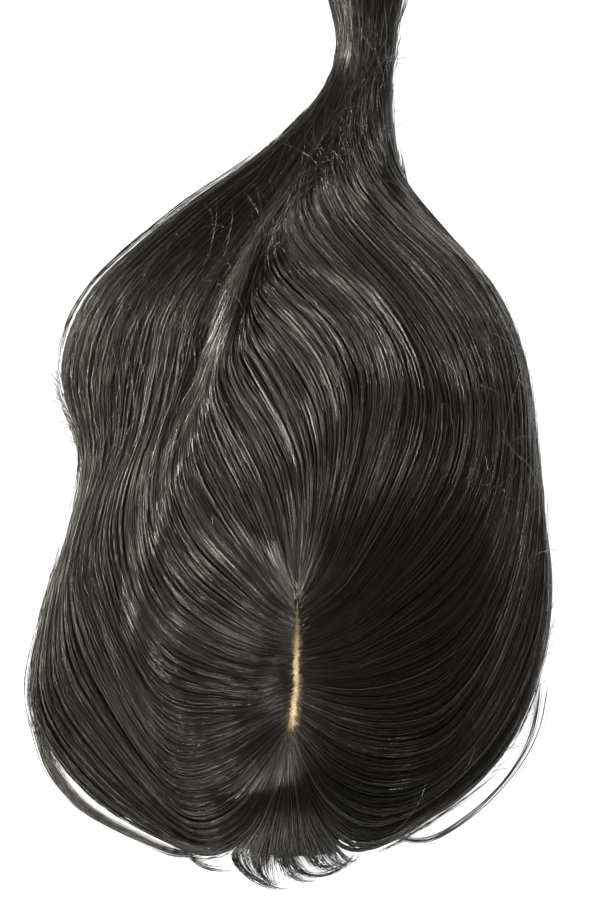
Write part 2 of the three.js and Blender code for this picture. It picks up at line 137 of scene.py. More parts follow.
# The way the hair runs: guide hairs from root to tip, taken clockwise from the front left. Each
# row is a guide, as places x, y in percent; its root lies on the parting, at its share of it.
ROOT_SHARES = [
    0.0, 0.05, 0.13, 0.24, 0.37, 0.51, 0.64, 0.75, 0.85, 0.93, 1.0,
    1.0, 0.99, 0.94, 0.86, 0.74, 0.61, 0.47, 0.33, 0.19, 0.07, 0.0,
]
FLOW = [
    [47.2, 9.8, 42.8, 5.3, 35.5, 2.8, 27.0, 4.0, 11.0, 9.0, 0.8, 17.4, 2.8, 27.0, 7.6, 35.5,
     10.6, 43.5, 6.6, 51.5, 11.5, 59.8, 28.0, 68.0, 45.5, 74.6, 56.4, 80.6, 59.2, 85.8,
     57.2, 91.4, 58.8, 98.6],
    [45.8, 11.7, 40.8, 7.4, 34.0, 5.4, 27.0, 7.2, 16.5, 13.0, 7.0, 20.5, 6.2, 28.5, 9.2, 36.0,
     12.5, 43.5, 10.6, 51.5, 15.6, 59.6, 30.5, 67.4, 46.6, 74.2, 56.9, 80.5, 59.5, 85.8,
     57.8, 91.4, 59.2, 98.7],
    [44.5, 14.6, 38.5, 12.2, 31.0, 10.8, 25.0, 12.6, 17.5, 18.6, 11.5, 25.5, 9.2, 31.5, 11.5, 37.5,
     15.0, 44.0, 15.0, 51.5, 19.8, 59.4, 33.0, 66.8, 47.6, 73.8, 57.3, 80.5, 59.8, 85.8,
     58.3, 91.4, 59.6, 98.8],
    [44.0, 17.4, 37.5, 15.8, 30.0, 14.9, 24.5, 17.0, 19.0, 21.8, 14.5, 27.0, 11.8, 32.5, 14.0, 38.5,
     17.5, 44.5, 18.8, 51.5, 23.2, 59.2, 35.2, 66.3, 48.4, 73.4, 57.6, 80.5, 60.0, 85.8,
     58.7, 91.4, 59.9, 98.9],
    [43.8, 19.2, 37.0, 19.2, 30.0, 19.6, 24.5, 21.4, 20.0, 25.6, 16.8, 30.0, 15.2, 35.0, 16.8, 40.0,
     20.6, 45.5, 22.8, 52.0, 26.2, 59.0, 37.2, 65.8, 49.2, 73.1, 57.9, 80.5, 60.2, 85.8,
     59.0, 91.4, 60.1, 99.0],
    [44.0, 22.2, 37.0, 23.0, 30.5, 24.6, 25.8, 26.8, 22.5, 30.0, 20.3, 34.0, 19.8, 38.0, 21.4, 42.4,
     24.4, 47.2, 26.6, 52.6, 29.2, 58.8, 38.8, 65.2, 50.0, 72.7, 58.2, 80.5, 60.4, 85.8,
     59.3, 91.4, 60.3, 99.0],
    [45.0, 25.0, 38.5, 26.6, 32.0, 29.0, 27.2, 32.0, 24.3, 35.6, 23.4, 39.4, 24.6, 43.6, 27.0, 47.4,
     29.4, 51.4, 30.4, 55.2, 33.6, 59.8, 40.6, 64.8, 50.8, 72.2, 58.6, 80.5, 60.6, 85.8,
     59.6, 91.4, 60.5, 99.1],
    [45.6, 27.2, 39.5, 29.6, 33.2, 32.4, 28.6, 36.0, 26.6, 39.6, 27.0, 43.4, 29.0, 47.0, 31.4, 50.6,
     33.6, 53.8, 36.2, 57.0, 39.0, 60.6, 43.2, 65.2, 51.6, 71.8, 59.2, 80.5, 61.0, 85.8,
     60.1, 91.4, 60.9, 99.2],
    [46.4, 29.2, 41.0, 32.4, 35.6, 35.6, 31.4, 39.2, 29.8, 42.4, 30.4, 45.6, 32.4, 49.0, 34.6, 52.2,
     36.6, 55.0, 38.6, 58.0, 41.0, 61.4, 44.6, 65.6, 52.4, 71.6, 59.8, 80.5, 61.4, 85.8,
     60.6, 91.4, 61.2, 99.3],
    [47.6, 31.0, 43.6, 35.0, 39.6, 39.0, 35.8, 42.8, 33.6, 46.0, 33.4, 48.8, 34.8, 51.6, 36.6, 54.2,
     38.4, 56.8, 40.2, 59.4, 42.4, 62.4, 45.6, 66.0, 53.0, 71.4, 60.3, 80.5, 61.8, 85.8,
     61.1, 91.4, 61.6, 99.4],
    [49.6, 32.6, 47.8, 36.8, 45.2, 41.2, 41.6, 45.2, 38.2, 48.6, 36.8, 51.2, 37.2, 53.6, 38.6, 56.0,
     40.2, 58.4, 41.8, 60.8, 43.8, 63.4, 46.6, 66.4, 53.8, 71.2, 60.9, 80.5, 62.3, 85.8,
     61.8, 91.4, 62.1, 99.5],
    [52.0, 33.4, 52.4, 38.0, 51.4, 42.6, 48.4, 46.8, 44.4, 50.4, 41.4, 53.2, 40.6, 55.4, 41.2, 57.6,
     42.4, 59.8, 43.8, 62.0, 45.4, 64.4, 47.8, 67.0, 54.6, 71.2, 61.5, 80.5, 62.9, 85.8,
     62.5, 91.4, 62.6, 99.6],
    [54.2, 33.2, 56.6, 38.2, 58.2, 43.4, 58.2, 48.4, 55.2, 52.8, 50.8, 56.0, 46.6, 58.4, 44.2, 60.2,
     44.2, 61.9, 45.2, 63.7, 46.8, 65.5, 49.2, 67.8, 55.4, 71.6, 62.2, 80.6, 63.6, 85.8,
     63.3, 91.4, 63.2, 99.7],
    [56.4, 32.2, 60.2, 37.4, 63.2, 42.4, 65.4, 47.2, 65.8, 51.6, 62.6, 56.0, 57.0, 59.4, 51.6, 62.2,
     48.6, 64.6, 48.2, 66.8, 49.4, 69.0, 51.6, 71.2, 56.6, 75.0, 62.8, 80.8, 64.4, 85.8,
     64.2, 91.4, 63.8, 99.8],
    [59.0, 30.6, 64.6, 35.6, 69.2, 40.6, 72.6, 45.4, 73.6, 50.0, 71.0, 54.8, 65.0, 59.6, 58.4, 63.0,
     53.2, 66.2, 51.4, 69.0, 52.2, 71.6, 54.2, 74.2, 58.2, 77.6, 63.4, 81.2, 65.2, 85.8,
     65.2, 91.4, 64.4, 99.8],
    [60.4, 28.4, 68.0, 32.6, 74.6, 37.6, 79.2, 42.8, 80.6, 48.0, 78.6, 53.0, 72.8, 58.4, 65.2, 63.0,
     58.6, 67.0, 55.6, 70.6, 55.4, 73.8, 57.0, 76.6, 60.2, 79.2, 64.0, 82.0, 66.0, 86.0,
     66.2, 91.4, 64.8, 99.7],
    [61.0, 25.8, 69.6, 29.2, 77.6, 33.2, 84.0, 38.0, 87.4, 43.6, 87.6, 50.0, 83.6, 56.4, 75.6, 62.4,
     67.0, 66.8, 61.4, 70.8, 59.6, 74.2, 60.0, 77.2, 62.2, 79.9, 65.0, 82.6, 66.8, 86.2,
     67.2, 91.4, 65.1, 99.6],
    [61.5, 22.0, 71.0, 23.8, 80.0, 26.6, 87.4, 32.0, 91.6, 39.0, 92.4, 47.0, 89.8, 55.2, 81.8, 62.2,
     72.6, 67.0, 65.6, 71.2, 62.8, 74.8, 62.4, 78.0, 63.8, 80.8, 65.8, 83.2, 67.4, 86.4,
     68.0, 91.4, 65.3, 99.5],
    [61.0, 18.6, 70.5, 18.4, 80.0, 20.6, 88.6, 27.2, 93.6, 36.0, 94.8, 45.4, 92.8, 54.4, 85.4, 62.0,
     76.6, 67.0, 68.6, 71.6, 65.4, 75.4, 64.6, 78.6, 65.4, 81.2, 66.8, 83.6, 68.0, 86.6,
     68.8, 91.4, 65.5, 99.4],
    [60.0, 14.8, 70.0, 13.6, 79.6, 15.4, 88.8, 22.4, 95.2, 32.6, 96.4, 43.0, 94.6, 53.2, 88.0, 61.0,
     78.4, 66.8, 70.2, 71.8, 67.2, 75.8, 66.4, 79.0, 66.8, 81.6, 67.8, 84.0, 68.8, 86.8,
     69.6, 91.4, 65.7, 99.3],
    [57.8, 11.0, 68.0, 8.8, 79.4, 11.2, 90.4, 18.4, 97.0, 28.0, 97.5, 39.4, 95.3, 50.4, 90.0, 59.4,
     80.2, 66.0, 71.6, 71.6, 68.4, 76.0, 67.8, 79.3, 68.0, 81.9, 68.7, 84.3, 69.4, 87.0,
     70.3, 91.4, 65.8, 99.2],
    [54.0, 7.6, 61.8, 2.9, 75.6, 6.3, 90.6, 13.0, 98.0, 23.0, 98.4, 35.5, 96.2, 47.0, 92.2, 57.0,
     83.0, 63.8, 73.6, 69.2, 70.4, 74.0, 69.2, 78.6, 69.3, 82.0, 69.7, 84.8, 70.0, 87.4,
     71.0, 91.4, 66.0, 99.1],
]
FAN = [  # the short hair in front of the parting, from its left to its right
    [49.5, 15.2, 47.2, 10.6, 43.8, 6.6, 40.2, 4.2, 38.8, 3.0, 40.6, 1.4, 44.4, 0.1, 48.6, -0.5],
    [49.6, 15.1, 48.0, 11.0, 45.6, 7.2, 43.4, 4.6, 42.8, 3.0, 43.4, 1.7, 45.4, 0.6, 48.0, 0.1],
    [49.7, 15.0, 48.8, 11.2, 47.4, 7.6, 46.2, 5.0, 45.4, 3.2, 45.2, 1.8, 45.9, 0.6, 47.4, -0.3],
    [49.8, 14.9, 49.4, 11.4, 49.0, 8.0, 48.5, 5.4, 48.3, 3.6, 49.0, 2.2, 50.4, 1.1, 52.4, 0.6],
    [49.9, 14.9, 50.3, 11.4, 50.6, 8.0, 50.7, 5.4, 50.9, 3.6, 52.0, 2.3, 54.2, 1.4, 57.0, 1.0],
    [50.1, 15.0, 51.5, 11.1, 53.2, 7.5, 54.8, 5.0, 56.2, 3.3, 57.6, 2.3, 59.6, 1.8, 61.4, 2.4],
    [50.3, 15.1, 52.8, 10.4, 56.2, 6.4, 59.0, 4.2, 60.6, 3.2, 61.8, 2.6, 62.8, 2.8, 63.6, 3.6],
]
WISPS = [  # curled tips of the fringe: hairs, half width in mm at root and tip, then places
    [24, 2.6, 1.0, 48.0, 11.5, 44.5, 7.5, 40.8, 4.7, 39.9, 3.1, 41.2, 1.7, 43.9, 0.5, 47.5, -0.4,
     51.1, -0.4],
    [14, 2.0, 1.3, 49.0, 11.0, 46.2, 7.2, 44.2, 4.6, 43.3, 2.6, 44.0, 1.4, 45.8, 0.7],
    [14, 2.0, 1.2, 49.2, 11.0, 47.6, 7.0, 46.6, 4.4, 45.4, 2.7, 45.3, 1.4, 47.0, -0.1],
    [22, 2.4, 1.2, 49.6, 11.0, 48.0, 7.0, 47.2, 4.2, 48.4, 2.3, 50.2, 1.1, 53.0, 0.4, 56.3, 0.6],
    [24, 2.4, 1.2, 50.2, 11.0, 49.6, 7.0, 49.8, 3.6, 51.4, 1.8, 54.5, 1.1, 58.2, 1.5, 61.4, 2.6,
     62.9, 3.7],
    [20, 2.4, 1.4, 51.0, 11.0, 51.8, 6.6, 52.6, 3.6, 55.2, 2.1, 58.9, 2.1, 61.8, 3.4],
    [30, 3.0, 1.8, 46.5, 11.5, 41.0, 7.0, 34.5, 4.4, 31.2, 3.0, 33.8, 1.8, 37.6, 1.5, 40.5, 1.9],
]
RELIEF = [  # swells and hollows: x, y, half length and half width in mm, turn from +X, height in mm
    [63.0, 57.5, 32, 10, 140, 3.2],  # the right hair where it folds over the back hair
    [49.5, 61.5, 14, 4.5, 135, -2.6],  # the pocket under the fold
    [60.0, 54.0, 22, 5, 120, -2.0],
    [40.5, 49.0, 15, 4, 125, -2.0],  # the hollow behind the ridge
    [38.4, 55.0, 26, 3.0, 75, 2.2],  # the ridge, from its back end forward
    [31.8, 45.0, 24, 4.0, 69, 1.8],
    [24.4, 34.0, 30, 5.0, 71, 1.6],
    [33.6, 54.0, 30, 5.5, 75, -4.4],  # the channel beside it
    [27.6, 44.0, 24, 5.0, 69, -3.0],
    [60.5, 82.0, 10, 3, 70, -2.2],  # where the two halves meet in the neck
    [67.0, 66.0, 24, 5, 130, 1.4],
    [60.0, 68.5, 22, 4, 130, -1.2],
    [56.0, 71.0, 20, 4, 125, 1.4],
    [84.0, 45.0, 26, 9, 75, 1.2],
    [91.0, 33.0, 26, 6, 60, -1.2],
    [23.0, 25.0, 26, 6, 115, 1.2],
    [17.0, 22.0, 26, 5, 115, -1.0],
    [10.0, 18.0, 22, 6, 125, 1.2],
]


# Places on the hair

def plot(x_percent, y_percent):
    """Metres in plan of a place given in percent."""
    x = cap_middle.x + (np.asarray(x_percent) / 100 - 0.5) * hair_wide
    y = cap_middle.y - cap_long / 2 - front_reach + np.asarray(y_percent) / 100 * hair_long
    return np.stack([x, y], -1)


def between(before, here, there, after, f):
    """A place on the smooth curve through four places, a share f of the way from here to there."""
    return 0.5 * (
        2 * here + (there - before) * f
        + (2 * before - 5 * here + 4 * there - after) * f ** 2
        + (3 * here - before - 3 * there + after) * f ** 3
    )


def along(rows, u):
    """A smooth curve through the rows of a table, at station numbers u."""
    rows = np.asarray(rows, float)
    last = len(rows) - 1
    i = np.clip(np.floor(u).astype(int), 0, last - 1)
    f = (u - i)[..., None]
    before, here = rows[np.clip(i - 1, 0, last)], rows[i]
    there, after = rows[i + 1], rows[np.clip(i + 2, 0, last)]
    return between(before, here, there, after, f)


def ease(x):
    """0 to 1, with a smooth start and end."""
    x = np.clip(x, 0, 1)
    return x * x * (3 - 2 * x)


def bowed(start, end, bow, t):
    """A point t of the way from start to end on an arch."""
    chord = end - start
    out = np.stack([-chord[..., 1], chord[..., 0]], -1)
    return start + chord * t[..., None] + out * (4 * bow * t * (1 - t))[..., None]


def rounded(q):
    """From 0 at an edge to 1 inside, steep at the edge like the side of a bundle."""
    return np.sqrt(np.clip(1 - (1 - np.clip(q, 0, 1)) ** 2.4, 0, 1))


def section(u):
    """The named places and heights of the section at station u."""
    plan = along(PLAN, u)
    rise = along(HEIGHTS, u)
    part = {name: plan[..., i] for i, name in enumerate(ROW)}
    part.update({name: rise[..., i] / 100 * hair_high for i, name in enumerate(RISE)})
    return part


def parting_rise(z, u):
    """The hair leaves the parting panel flat, and rises to its own height beside it."""
    root_gap = 0.0004
    start = panel_high.z + root_gap
    return start + (z - start) * ease(u / 1.4)


def left_surface(t, u):
    """The left hair's top: t runs from the channel beside the ridge, 0, to the outer edge, 1."""
    part = section(u)
    ridge = plot(part["ridge_x"], part["ridge_y"])
    edge = plot(part["left_x"], part["left_y"])
    place = bowed(ridge, edge, -part["left_bow"], t)
    inner = part["channel"] + (part["left_crest"] - part["channel"]) * ease(2 * t)
    outer = part["left_edge"] + (part["left_crest"] - part["left_edge"]) * rounded(2 - 2 * t)
    z = parting_rise(np.where(t < 0.5, inner, outer), u)
    return np.concatenate([place, z[..., None]], -1)


def right_surface(t, u):
    """The back and right hair's top: t is 0 at the ridge, 1 behind the parting, 2 at the edge."""
    part = section(u)
    ridge = plot(part["ridge_x"], part["ridge_y"])
    back = plot(part["back_x"], part["back_y"])
    edge = plot(part["right_x"], part["right_y"])
    over = t > 1
    first = bowed(ridge, back, part["back_bow"], np.minimum(t, 1))
    second = bowed(back, edge, part["right_bow"], np.maximum(t - 1, 0))
    place = np.where(over[..., None], second, first)
    lip = (part["ridge"] - part["channel"]) * 0.85 * (1 - np.clip(t / 0.13, 0, 1)) ** 2
    from_ridge = part["ridge"] + (part["back_crest"] - part["ridge"]) * ease(2 * t) - lip
    to_back = part["back_crest"] + (part["back"] - part["back_crest"]) * ease(2 * t - 1)
    from_back = part["back"] + (part["right_crest"] - part["back"]) * ease(2 * t - 2)
    to_edge = part["right_edge"] + (part["right_crest"] - part["right_edge"]) * rounded(4 - 2 * t)
    z = np.select([t < 0.5, t <= 1, t < 1.5], [from_ridge, to_back, from_back], to_edge)
    z = parting_rise(z, u)
    return np.concatenate([place, z[..., None]], -1)


def fringe_surface(t, u):
    """The fringe's top: t is 0 on its left side and 1 on its right."""
    row = along(FRINGE, u)
    left = plot(row[..., 0], row[..., 1])
    right = plot(row[..., 2], row[..., 3])
    place = bowed(left, right, -row[..., 4], t)
    side = row[..., 5] / 100 * hair_high
    middle = row[..., 6] / 100 * hair_high
    z = side + (middle - side) * rounded(1 - np.abs(2 * t - 1))
    return np.concatenate([place, parting_rise(z, u)[..., None]], -1)


def dome_height(place):
    """Height of the cap's outside, with the parting panel on it, at places in plan."""
    hem_wide, hem_high = 0.006, 0.002
    panel_thick, hem_top = 0.0013, 0.0023
    rim = cap_wide / 2 - hem_wide
    rise = cap_high.z - hem_high
    ball = (rim ** 2 + rise ** 2) / (2 * rise)
    across = place[..., 0] - cap_middle.x
    forward = (place[..., 1] - cap_middle.y) * cap_wide / cap_long
    far = across ** 2 + forward ** 2
    top = cap_high.z - ball + np.sqrt(np.clip(ball ** 2 - far, 0, None)) + panel_thick
    return np.where(far < rim ** 2, top, np.where(far < (cap_wide / 2) ** 2, hem_top, 0.0))


def guide_rows(table, roots=None):
    """Guides in metres, from rows of places in percent, with their roots put first."""
    rows = []
    for i, row in enumerate(table):
        root = []
        if roots is not None:
            root = [50.0 + 1.25 * float(ease(roots[i] / 0.4)), 15.6 + 13.8 * roots[i]]
        rows.append(plot(*np.reshape(root + row, (-1, 2)).T))
    return np.array(rows)


FLOW_METRES = guide_rows(FLOW, ROOT_SHARES)
FAN_METRES = guide_rows(FAN)


def guided(guides, guide, step):
    """The place in plan of the hair at a guide number and a step along it, both with fractions."""
    shape = guide.shape
    last = guides.shape[1] - 1
    rows = along(guides.reshape(len(guides), -1), guide.ravel()).reshape(-1, last + 1, 2)
    step = np.clip(step.ravel(), 0, last - 1e-6)
    i = np.floor(step).astype(int)
    f = (step - i)[:, None]
    row = np.arange(len(i))
    before, here = rows[row, np.maximum(i - 1, 0)], rows[row, i]
    there, after = rows[row, i + 1], rows[row, np.minimum(i + 2, last)]
    return between(before, here, there, after, f).reshape(*shape, 2)


def flow(guide, step):
    """The place in plan of a long hair."""
    return guided(FLOW_METRES, guide, step)


def relief(place):
    """Height of the swells and hollows of the hair, in metres, at places in plan."""
    rise = np.zeros(place.shape[:-1])
    for x, y, half_long, half_wide, turn, high in RELIEF:
        off = place - plot(x, y)
        way = np.array([math.cos(math.radians(turn)), math.sin(math.radians(turn))])
        ahead = (off @ way) * 1000 / half_long
        aside = (off @ np.array([-way[1], way[0]])) * 1000 / half_wide
        rise += high / 1000 * np.exp(-ahead ** 2 - aside ** 2)
    return rise


CELL = 0.001
MAP_MARGIN = 0.02
MAP_FROM = plot(0, 0) - MAP_MARGIN
MAP_SIZE = tuple(int((size + 2 * MAP_MARGIN) / CELL) for size in (hair_wide, hair_long))
PARTING_FRONT = plot(49.7, 15.6)
PARTING_BACK = plot(51.3, 29.4)


def place_of_cells():
    """The middles of the map's cells, in metres in plan."""
    x, y = np.meshgrid(*(np.arange(size) for size in MAP_SIZE), indexing="ij")
    return MAP_FROM + (np.stack([x, y], -1) + 0.5) * CELL


def parting_distance(place):
    """Distance in plan from the line of the parting."""
    line = PARTING_BACK - PARTING_FRONT
    off = place - PARTING_FRONT
    along_line = np.clip(off @ line / (line @ line), 0, 1)
    return np.linalg.norm(off - along_line[..., None] * line, axis=-1)


def softened(grid, times):
    """The grid, with each cell evened out with those beside it."""
    for _ in range(times):
        for axis in (0, 1):
            grid = (np.roll(grid, 1, axis) + 2 * grid + np.roll(grid, -1, axis)) / 4
    return grid


def map_of_heights():
    """The height of the hair's top on a grid of millimetre cells, level with the table outside."""
    tops = np.full(MAP_SIZE, -1.0)
    sheets = (left_surface, 1, LAST), (right_surface, 2, LAST), (fringe_surface, 1, 4)
    for surface, reach, last in sheets:
        t, u = np.meshgrid(np.linspace(0, reach, 420 * reach), np.linspace(0, last, 1500))
        top = surface(t, u).reshape(-1, 3)
        cell = ((top[:, :2] - MAP_FROM) / CELL).astype(int)
        np.maximum.at(tops, (cell[:, 0], cell[:, 1]), top[:, 2])
    hollow = tops < 0
    filled = tops.copy()
    for _ in range(14):
        share = np.zeros(MAP_SIZE)
        total = np.zeros(MAP_SIZE)
        for way in ((1, 0), (-1, 0), (0, 1), (0, -1)):
            beside = np.roll(filled, way, (0, 1))
            share += beside >= 0
            total += np.where(beside >= 0, beside, 0)
        filled = np.where((filled < 0) & (share > 0), total / np.maximum(share, 1), filled)
    gap_middle, gap_half_size = plot(50.5, 15), (0.022, 0.06)  # the gap round the parting
    table_hair = 0.0012
    spot = (place_of_cells() - gap_middle) / gap_half_size
    inside = hollow & (np.abs(spot) < 1).all(-1)
    tops = np.where(inside & (filled > 0), filled, np.where(hollow, table_hair, tops))
    tops = softened(tops, 3)
    crown_top, crown_fall, crown_blend = 0.0425, 1.9, 0.0015
    crown_reach, crown_fade = 0.045, 0.030
    far = parting_distance(place_of_cells())
    crown = crown_top - crown_fall * far ** 2
    gap = softened(tops, 40) - crown
    lower = crown + (gap - np.sqrt(gap ** 2 + crown_blend ** 2)) / 2
    return tops + (lower - tops) * (1 - ease((far - crown_reach) / crown_fade))


TOPS = map_of_heights()


def top_of_hair(place):
    """Height of the hair's top at places in plan, with its swells and hollows."""
    spot = (place - MAP_FROM) / CELL - 0.5
    i = np.clip(np.floor(spot).astype(int), 0, np.array(MAP_SIZE) - 2)
    f = np.clip(spot - i, 0, 1)
    x, y = i[..., 0], i[..., 1]
    low = TOPS[x, y] * (1 - f[..., 0]) + TOPS[x + 1, y] * f[..., 0]
    high = TOPS[x, y + 1] * (1 - f[..., 0]) + TOPS[x + 1, y + 1] * f[..., 0]
    top = low * (1 - f[..., 1]) + high * f[..., 1]
    return top + relief(place) * ease((top - 0.002) / 0.006)


def add_object(name, data):
    """A new object in the scene, at the origin."""
    thing = bpy.data.objects.new(name, data)
    bpy.context.scene.collection.objects.link(thing)
    return thing


# Materials

def new_material(name):
    material = bpy.data.materials.new(name)
    material.use_nodes = True
    nodes = material.node_tree.nodes
    return material, nodes, material.node_tree.links, nodes["Principled BSDF"]


def colour_by(nodes, links, source, shader, *stops):
    """Colours the shader by a value, through stops of a position and a colour."""
    ramp = nodes.new("ShaderNodeValToRGB")
    links.new(source, ramp.inputs["Fac"])
    links.new(ramp.outputs["Color"], shader.inputs["Base Color"])
    points = ramp.color_ramp.elements
    for i, (position, colour) in enumerate(stops):
        point = points[i] if i < 2 else points.new(position)
        point.position = position
        point.color = (*colour, 1)


def maths(nodes, links, operation, source, *numbers):
    """A sum on the value of a socket, with numbers for its other inputs."""
    node = nodes.new("ShaderNodeMath")
    node.operation = operation
    links.new(source, node.inputs[0])
    for i, number in enumerate(numbers):
        node.inputs[i + 1].default_value = number
    return node.outputs["Value"]


def noise(nodes, links, source, scale):
    node = nodes.new("ShaderNodeTexNoise")
    node.inputs["Scale"].default_value = scale
    links.new(source, node.inputs["Vector"])
    return node


def strand_material():
    """Near-black hair; each strand has its own depth of colour, with painted shade on the deeper
    strands and painted glints on the pale ones, and the browner ones shine more.
    """
    material, nodes, links, shader = new_material("hair_strands")
    shade = nodes.new("ShaderNodeAttribute")
    shade.attribute_name = "shade"
    # The light brown stop at 1 colours the pale strands as painted glints; lower values also carry
    # painted shade on deeper strands.
    colour_by(
        nodes, links, shade.outputs["Fac"], shader,
        (0.0, (0.0065, 0.006, 0.0052)), (0.8, (0.016, 0.0137, 0.011)), (1.0, (0.085, 0.074, 0.062)),
    )
    for quality, dull, shiny in (("Roughness", 0.34, 0.13), ("Specular IOR Level", 0.26, 0.85)):
        reach = nodes.new("ShaderNodeMapRange")
        for end, value in zip(("From Min", "From Max", "To Min", "To Max"), (0.2, 0.65, dull, shiny)):
            reach.inputs[end].default_value = value
        links.new(shade.outputs["Fac"], reach.inputs["Value"])
        links.new(reach.outputs["Result"], shader.inputs[quality])
    shader.inputs["IOR"].default_value = 1.7
    shader.inputs["Specular Tint"].default_value = (1.0, 0.93, 0.82, 1)
    return material


def packed_hair_material():
    """The hair under the top strands, with fine streaks along its own map; it is coloured darker than
    the strands, as painted shade in the gaps between them.
    """
    material, nodes, links, shader = new_material("packed_hair")
    place = nodes.new("ShaderNodeUVMap")
    place.uv_map = "along_hair"
    stretch = nodes.new("ShaderNodeMapping")
    stretch.inputs["Scale"].default_value = (2.2, 0.018, 1)
    links.new(place.outputs["UV"], stretch.inputs["Vector"])
    streaks = noise(nodes, links, stretch.outputs["Vector"], 1.0)
    streaks.inputs["Detail"].default_value = 5
    # Darker than the strands: painted shade between them.
    colour_by(
        nodes, links, streaks.outputs["Fac"], shader,
        (0.35, (0.003, 0.003, 0.0028)), (0.7, (0.014, 0.012, 0.01)),
    )
    bump = nodes.new("ShaderNodeBump")
    bump.inputs["Strength"].default_value = 0.9
    bump.inputs["Distance"].default_value = 0.0006
    links.new(streaks.outputs["Fac"], bump.inputs["Height"])
    links.new(bump.outputs["Normal"], shader.inputs["Normal"])
    shader.inputs["Roughness"].default_value = 0.5
    shader.inputs["Specular IOR Level"].default_value = 0.15
    return material


def scalp_material():
    """Tan silk base, pale along the parting and darker where hair is tied in beside it."""
    material, nodes, links, shader = new_material("scalp_panel_silk")
    place = nodes.new("ShaderNodeTexCoord")
    spine = nodes.new("ShaderNodeVectorMath")
    spine.operation = "DOT_PRODUCT"
    front, back = plot(50.6, 15.6), plot(51.35, 29.4)
    across = np.array([back[1] - front[1], front[0] - back[0]])
    across /= np.linalg.norm(across)
    spine.inputs[1].default_value = (*across, 0)
    links.new(place.outputs["Object"], spine.inputs[0])
    line = float(across @ front)
    centred = maths(nodes, links, "SUBTRACT", spine.outputs["Value"], line)
    aside = maths(nodes, links, "ABSOLUTE", centred)
    knots = noise(nodes, links, place.outputs["Object"], 1400)
    ragged = 0.0044
    uneven = maths(nodes, links, "MULTIPLY_ADD", knots.outputs["Fac"], ragged, -ragged / 2)
    total = nodes.new("ShaderNodeMath")
    links.new(aside, total.inputs[0])
    links.new(uneven, total.inputs[1])
    per_metre = 250
    spread = maths(nodes, links, "MULTIPLY", total.outputs["Value"], per_metre)
    colour_by(
        nodes, links, spread, shader,
        (0.1, (0.90, 0.70, 0.42)), (0.45, (0.52, 0.33, 0.13)), (1.0, (0.16, 0.10, 0.045)),
    )
    shader.inputs["Roughness"].default_value = 0.6
    return material


def net_material():
    """Dark net of the cap: a fine square mesh in relief."""
    material, nodes, links, shader = new_material("cap_net_mesh")
    place = nodes.new("ShaderNodeTexCoord")
    thread = nodes.new("ShaderNodeMath")
    thread.operation = "MAXIMUM"
    for i, direction in enumerate("XY"):
        wave = nodes.new("ShaderNodeTexWave")
        wave.bands_direction = direction
        wave.inputs["Scale"].default_value = 260
        links.new(place.outputs["Object"], wave.inputs["Vector"])
        links.new(wave.outputs["Fac"], thread.inputs[i])
    colour_by(
        nodes, links, thread.outputs["Value"], shader,
        (0.0, (0.008, 0.007, 0.006)), (1.0, (0.035, 0.028, 0.022)),
    )
    bump = nodes.new("ShaderNodeBump")
    bump.inputs["Distance"].default_value = 0.0003
    links.new(thread.outputs["Value"], bump.inputs["Height"])
    links.new(bump.outputs["Normal"], shader.inputs["Normal"])
    shader.inputs["Roughness"].default_value = 0.8
    return material


def clip_material():
    """Dark painted spring steel, a little rubbed."""
    material, nodes, links, shader = new_material("clip_paint")
    place = nodes.new("ShaderNodeTexCoord")
    rubs = noise(nodes, links, place.outputs["Object"], 180)
    colour_by(
        nodes, links, rubs.outputs["Fac"], shader,
        (0.0, (0.010, 0.008, 0.007)), (1.0, (0.05, 0.045, 0.04)),
    )
    shader.inputs["Metallic"].default_value = 0.4
    shader.inputs["Roughness"].default_value = 0.35
    return material


hair_look = strand_material()
packed_look = packed_hair_material()


# Packed hair: closed bodies between the hair's top and the cap or the table

def packed_body(name, surface, across, stations, sink, node):
    """A closed body under a surface, given at a grid of t across it and u along it."""
    t, u = np.meshgrid(across, stations, indexing="ij")
    top = surface(t, u)
    wide, long = t.shape
    under = top.copy()
    floor = dome_height(top)
    packed = np.minimum(top[..., 2] + relief(top[..., :2]), top_of_hair(top[..., :2])) - sink
    top[..., 2] = np.maximum(packed, floor + least_gap)
    under[..., 2] = floor
    corners = np.concatenate([top.reshape(-1, 3), under.reshape(-1, 3)])
    half = wide * long
    index = np.arange(half).reshape(wide, long)
    quads = np.stack([index[:-1, :-1], index[1:, :-1], index[1:, 1:], index[:-1, 1:]], -1)
    quads = quads.reshape(-1, 4)
    rim = np.concatenate([index[:-1, 0], index[-1, :-1], index[:0:-1, -1], index[0, :0:-1]])
    following = np.roll(rim, -1)
    walls = np.stack([rim, rim + half, following + half, following], -1)
    faces = np.concatenate([quads, quads[:, ::-1] + half, walls])
    mesh = bpy.data.meshes.new(name)
    mesh.from_pydata(corners.tolist(), [], faces.tolist())
    outline = top[[0, -1, -1, 0], [0, 0, -1, -1], :2]
    turning = np.sum(np.cross(outline, np.roll(outline, -1, 0)))
    if turning < 0:
        mesh.flip_normals()
    chart = mesh.uv_layers.new(name="along_hair")
    spots = np.array([loop.vertex_index for loop in mesh.loops]) % half
    run = np.linspace(0, hair_long * 1000, long)
    body_wide = 90  # in mm, as the map's other direction is
    chart.data.foreach_set(
        "uv", np.stack([t.ravel()[spots] * body_wide, run[spots % long]], -1).ravel(),
    )
    mesh.shade_smooth()
    piece = add_object(name, mesh)
    mesh.materials.append(packed_look)
    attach(piece, "root")
    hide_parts(node)
    return piece


